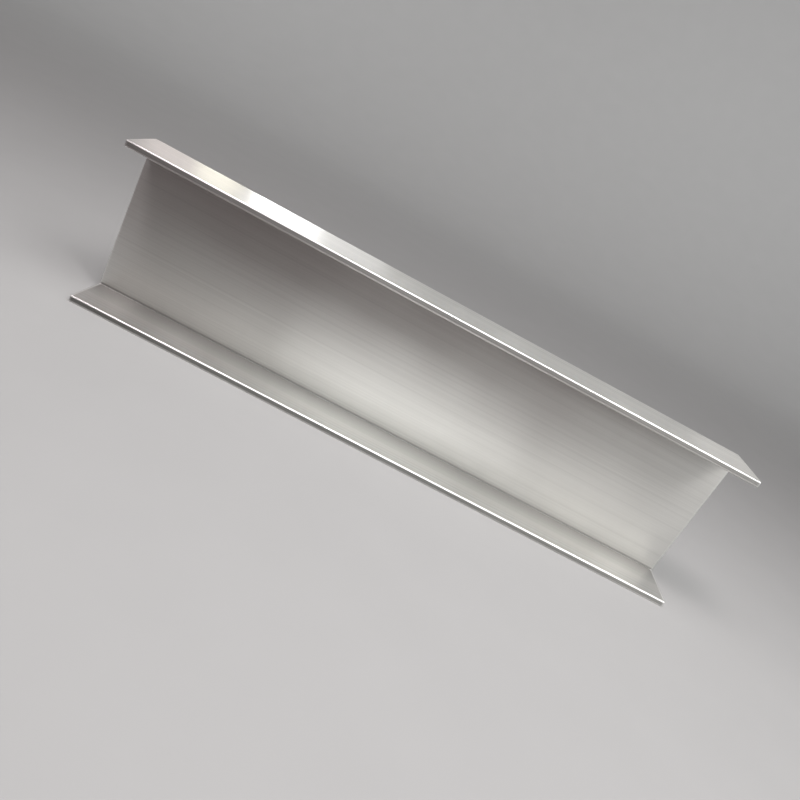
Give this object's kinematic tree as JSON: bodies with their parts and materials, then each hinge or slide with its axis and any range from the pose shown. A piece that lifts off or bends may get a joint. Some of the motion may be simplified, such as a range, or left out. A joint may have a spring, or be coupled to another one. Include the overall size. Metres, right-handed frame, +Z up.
{
  "type": "aluminium u-channel",
  "caption": "Straight extruded aluminium U-channel: a flat web between parallel flanges, sawn square at both ends, for edging, framing and guiding panels.",
  "frame": {"origin": "on the floor, under the middle of the bar's box: mid-length, and midway between the flange tips and the back of the web", "axes": "+X along the bar; +Y out through the back of the web, so the open side faces -Y; +Z up the web, from the lower flange that the bar stands on to the upper flange"},
  "size_m": [0.202, 0.02, 0.05],
  "materials": {
    "mill_aluminium": "mill finish, satin, with fine die lines along the bar"
  },
  "bodies": {
    "root": {"u_channel": "mill_aluminium"}
  },
  "joints": []
}
